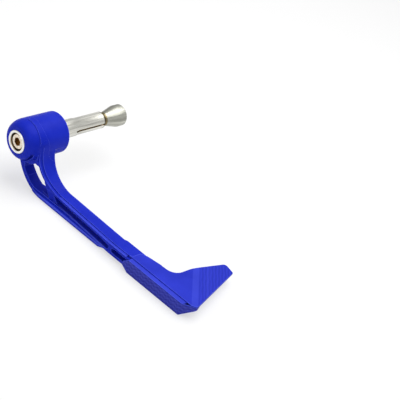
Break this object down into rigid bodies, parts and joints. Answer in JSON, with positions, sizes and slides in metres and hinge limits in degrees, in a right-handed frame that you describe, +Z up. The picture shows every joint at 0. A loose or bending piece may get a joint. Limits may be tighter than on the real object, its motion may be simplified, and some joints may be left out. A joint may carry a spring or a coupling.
{
  "type": "brake lever guard",
  "caption": "Motorcycle brake lever guard: a swept truss arm with an end cover and wing, on a bar-end hub with a bolt-drawn split expander sleeve.",
  "frame": {"origin": "on the bar axis, in the plane of the hub's inner rim, where the bar's end comes", "axes": "+X along the bar axis from the hub towards the bar's inside, -Y along the arm's reach, +Z up"},
  "size_m": [0.1054, 0.1927, 0.0546],
  "materials": {
    "arm_plastic": "moulded satin blue",
    "cover_plastic": "satin blue with a faint woven pattern on its sides",
    "steel": "zinc plated, brushed",
    "zinc_bolt": "yellow zinc plated",
    "cone_steel": "polished",
    "black_steel": "black oxide"
  },
  "bodies": {
    "root": {"arm": "arm_plastic", "end_cover": "cover_plastic", "hub_bush": "steel", "clamp_bolt": "zinc_bolt", "expander_sleeve": "steel", "expander_cone": "cone_steel", "cover_screw_1": "black_steel", "cover_screw_2": "black_steel"}
  },
  "joints": []
}
